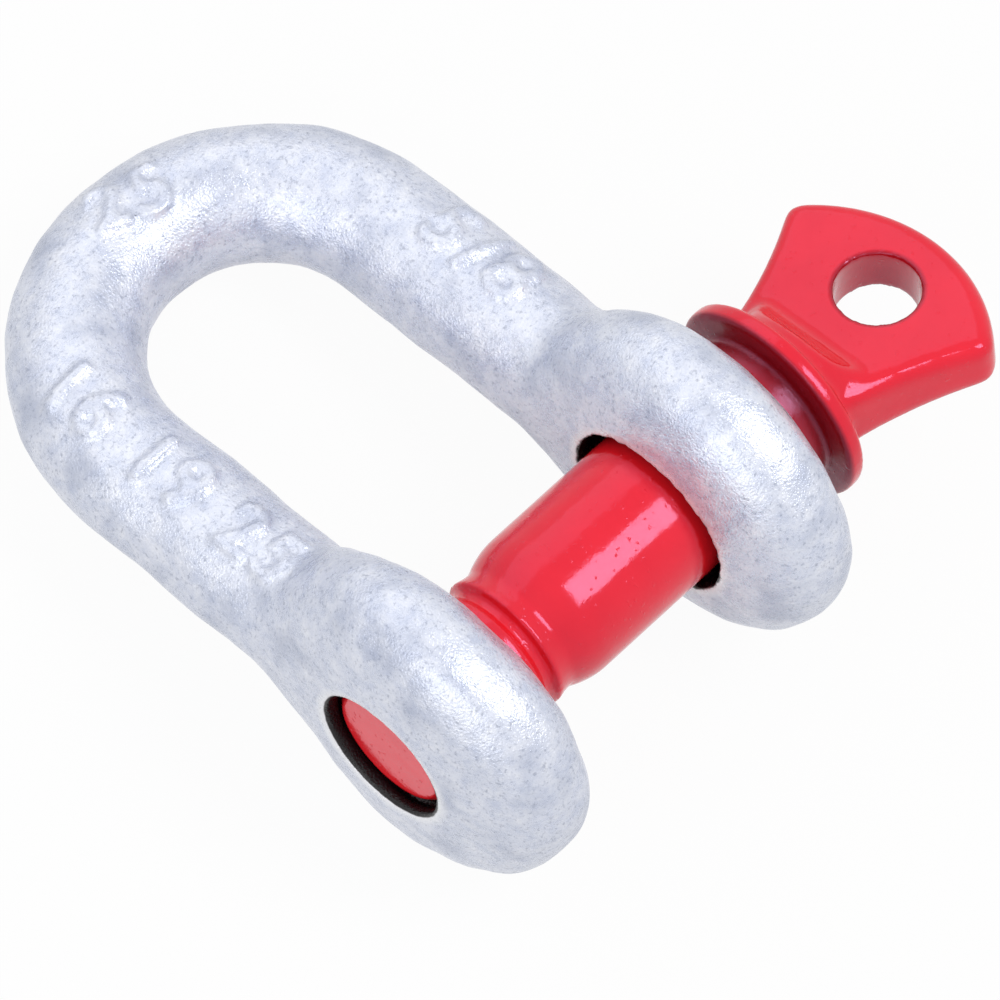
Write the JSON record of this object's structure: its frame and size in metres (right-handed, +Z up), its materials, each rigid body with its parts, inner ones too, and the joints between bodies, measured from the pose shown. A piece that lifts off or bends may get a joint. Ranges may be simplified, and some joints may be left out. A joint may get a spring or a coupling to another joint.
{
  "type": "screw-pin chain shackle",
  "caption": "Forged dee shackle with a screw pin: a galvanised U-shaped bow with round eyes and a red enamelled pin with a flared, drilled tab head, for joining chain.",
  "frame": {"origin": "on the pin's axis, at the middle of the jaw between the two eyes", "axes": "+X along the pin towards its head, +Y towards the crown of the bow, +Z up, with the shackle lying on a table"},
  "size_m": [0.0889, 0.0945, 0.042],
  "materials": {
    "hot_dip_zinc": "satin",
    "red_enamel": "gloss"
  },
  "bodies": {
    "bow": {"shackle_bow": "hot_dip_zinc"},
    "pin": {"screw_pin": "red_enamel"}
  },
  "joints": [
    {"name": "pin_withdraw", "type": "slide", "parent": "bow", "child": "pin", "axis": [1, 0, 0], "range_m": [-0.0034, 0.052]}
  ]
}
